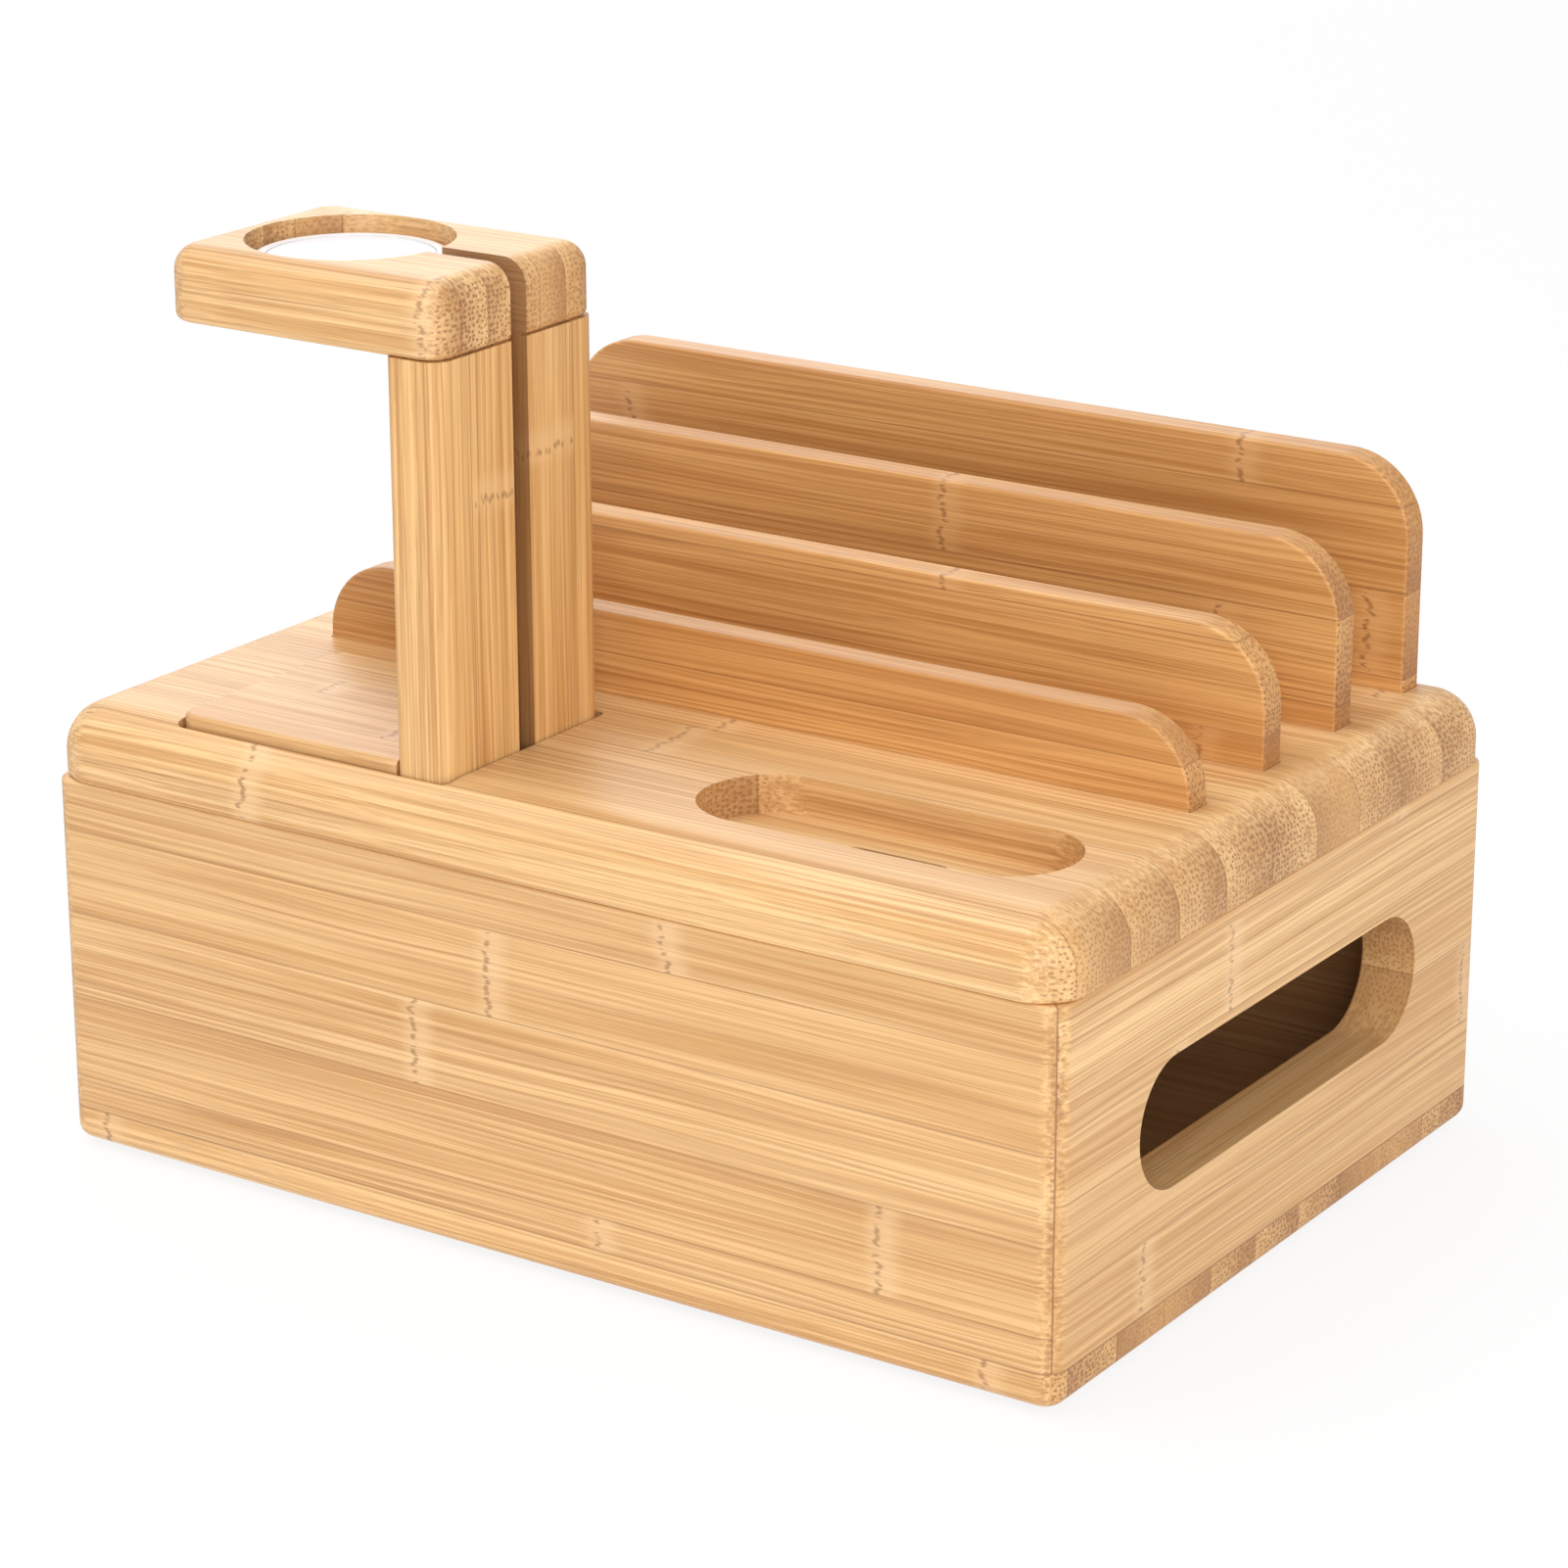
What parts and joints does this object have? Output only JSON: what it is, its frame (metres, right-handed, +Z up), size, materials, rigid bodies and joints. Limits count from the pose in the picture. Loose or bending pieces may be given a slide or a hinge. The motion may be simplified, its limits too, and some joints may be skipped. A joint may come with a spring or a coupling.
{
  "type": "charging station organizer",
  "caption": "Bamboo charging organizer: a cable box with a lift-off lid, upright device dividers, an earbud tray, and a lift-out watch stand holding a round charging puck.",
  "frame": {"origin": "centre of the footprint, on the surface the organizer stands on", "axes": "+Z up, +Y towards the tallest divider at the back, +X towards the earbud tray, away from the watch stand"},
  "size_m": [0.1824, 0.1322, 0.1472],
  "materials": {
    "bamboo": "satin oiled laminated bamboo",
    "bamboo_divider": "satin oiled laminated bamboo",
    "dowel_wood": "bare wood",
    "puck_shell": "white satin plastic",
    "puck_face": "white smooth plastic",
    "pad_rubber": "matte translucent rubber"
  },
  "bodies": {
    "box": {"front_wall": "bamboo", "back_wall": "bamboo", "left_wall": "bamboo", "right_wall": "bamboo", "base_panel": "bamboo", "pad_front_left": "pad_rubber", "pad_front_right": "pad_rubber", "pad_back_left": "pad_rubber", "pad_back_right": "pad_rubber"},
    "lid": {"lid_panel": "bamboo", "lid_cleat_left": "bamboo", "lid_cleat_right": "bamboo", "divider_1": "bamboo_divider", "divider_2": "bamboo_divider", "divider_3": "bamboo_divider", "divider_4": "bamboo_divider"},
    "stand": {"stand_foot": "bamboo", "stand_post": "bamboo", "stand_arm": "bamboo", "arm_dowels": "dowel_wood", "foot_dowels": "dowel_wood"},
    "puck": {"puck_shell": "puck_shell", "puck_face": "puck_face"}
  },
  "joints": [
    {"name": "lid_lift", "type": "slide", "parent": "box", "child": "lid", "axis": [0, 0, 1], "range_m": [0, 0.06]},
    {"name": "stand_lift", "type": "slide", "parent": "lid", "child": "stand", "axis": [0, 0, 1], "range_m": [0, 0.05]},
    {"name": "puck_lift", "type": "slide", "parent": "stand", "child": "puck", "axis": [0, 0, 1], "range_m": [0, 0.025]}
  ]
}
